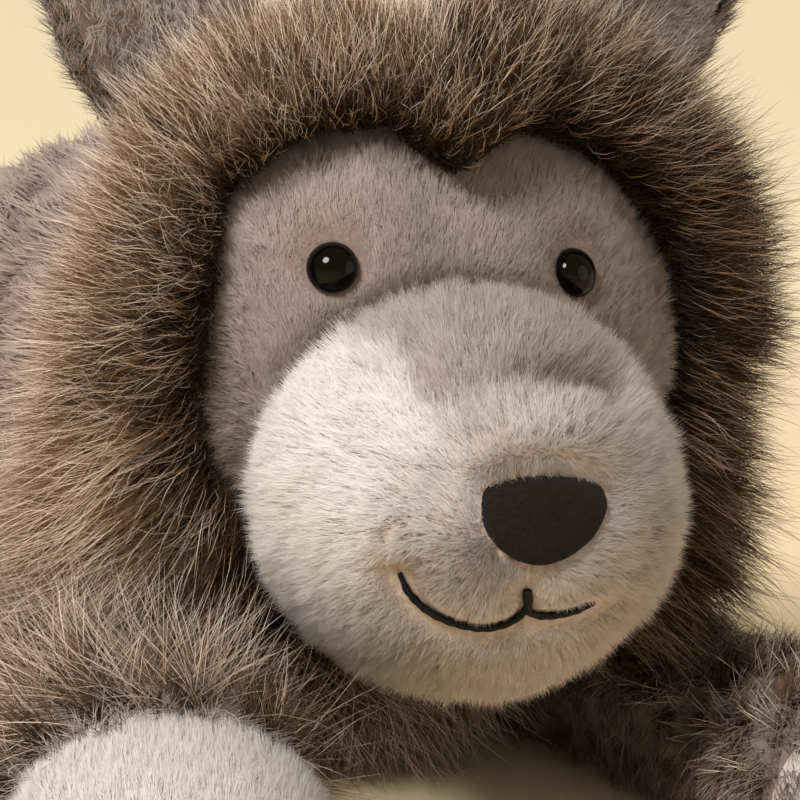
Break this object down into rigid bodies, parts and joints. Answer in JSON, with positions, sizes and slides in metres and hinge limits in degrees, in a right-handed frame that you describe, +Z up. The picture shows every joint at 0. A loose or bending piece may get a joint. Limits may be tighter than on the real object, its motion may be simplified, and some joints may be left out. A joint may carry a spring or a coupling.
{
  "type": "plush wolf",
  "caption": "Stuffed plush wolf lying on its belly, with a long shaggy mane, cream muzzle and paws, glossy eyes and a felt nose; its head, ears, legs and tail bend at their seams.",
  "frame": {"origin": "on the floor under the middle of the belly", "axes": "+Z up, the wolf faces -Y, its left side is +X"},
  "size_m": [0.2626, 0.5787, 0.2403],
  "materials": {
    "taupe_plush": "short plush pile",
    "cream_plush": "short plush pile",
    "mane_pile": "long shaggy pile with pale tips",
    "tail_pile": "long shaggy pile",
    "ear_lining": "short plush pile",
    "nose_felt": "brushed felt",
    "black_thread": "embroidery thread",
    "eye_plastic": "polished black",
    "washer_plastic": "moulded",
    "fibrefill": "loose polyester fibre",
    "pellet_cloth": "woven bag of pellets"
  },
  "bodies": {
    "torso": {"body_skin": "taupe_plush", "body_stuffing": "fibrefill", "belly_pellet_bag": "pellet_cloth", "chest_ruff": "mane_pile"},
    "neck": {"neck": "fibrefill"},
    "head": {"head_skin": "taupe_plush", "head_stuffing": "fibrefill", "muzzle_skin": "cream_plush", "muzzle_stuffing": "fibrefill", "nose": "nose_felt", "mouth_stitch": "black_thread", "mane": "mane_pile", "eye_left": "eye_plastic", "eye_right": "eye_plastic", "eye_washer_left": "washer_plastic", "eye_washer_right": "washer_plastic"},
    "ear_left": {"ear_left_back": "taupe_plush", "ear_left_lining": "ear_lining"},
    "ear_right": {"ear_right_back": "taupe_plush", "ear_right_lining": "ear_lining"},
    "front_leg_left": {"front_left_leg": "taupe_plush", "front_left_paw": "cream_plush", "front_left_stuffing": "fibrefill"},
    "front_leg_right": {"front_right_leg": "taupe_plush", "front_right_paw": "cream_plush", "front_right_stuffing": "fibrefill"},
    "hind_leg_left": {"hind_left_leg": "taupe_plush", "hind_left_paw": "cream_plush", "hind_left_stuffing": "fibrefill"},
    "hind_leg_right": {"hind_right_leg": "taupe_plush", "hind_right_paw": "cream_plush", "hind_right_stuffing": "fibrefill"},
    "tail": {"tail_brush": "tail_pile", "tail_tip": "mane_pile", "tail_stuffing": "fibrefill"}
  },
  "joints": [
    {"name": "head_turn", "type": "hinge", "parent": "torso", "child": "neck", "pos_m": [0, -0.086, 0.091], "axis": [0, 0, 1], "range_deg": [-15, 15], "stiffness_Nm_per_rad": 0.25},
    {"name": "head_nod", "type": "hinge", "parent": "neck", "child": "head", "pos_m": [0, -0.086, 0.091], "axis": [-1, 0, 0], "range_deg": [0, 18], "stiffness_Nm_per_rad": 0.3},
    {"name": "ear_left_fold", "type": "hinge", "parent": "head", "child": "ear_left", "pos_m": [0.04449, -0.12737, 0.15895], "axis": [0.891, 0.1021, -0.4424], "range_deg": [-45, 8], "stiffness_Nm_per_rad": 0.05},
    {"name": "ear_right_fold", "type": "hinge", "parent": "head", "child": "ear_right", "pos_m": [-0.04449, -0.12737, 0.15895], "axis": [0.891, -0.1021, 0.4424], "range_deg": [-45, 8], "stiffness_Nm_per_rad": 0.05},
    {"name": "front_leg_left_splay", "type": "hinge", "parent": "torso", "child": "front_leg_left", "pos_m": [0.07, -0.093, 0.0265], "axis": [0, 0, 1], "range_deg": [-7, 36]},
    {"name": "front_leg_right_splay", "type": "hinge", "parent": "torso", "child": "front_leg_right", "pos_m": [-0.07, -0.093, 0.0265], "axis": [0, 0, -1], "range_deg": [0, 43]},
    {"name": "hind_leg_left_swing", "type": "hinge", "parent": "torso", "child": "hind_leg_left", "pos_m": [0.076, 0.069, 0.0455], "axis": [-1, 0, 0], "range_deg": [-15, 35]},
    {"name": "hind_leg_right_swing", "type": "hinge", "parent": "torso", "child": "hind_leg_right", "pos_m": [-0.076, 0.069, 0.0455], "axis": [-1, 0, 0], "range_deg": [-15, 35]},
    {"name": "tail_wag", "type": "hinge", "parent": "torso", "child": "tail", "pos_m": [0, 0.131, 0.056], "axis": [0, 0, 1], "range_deg": [-30, 30], "stiffness_Nm_per_rad": 0.08}
  ]
}
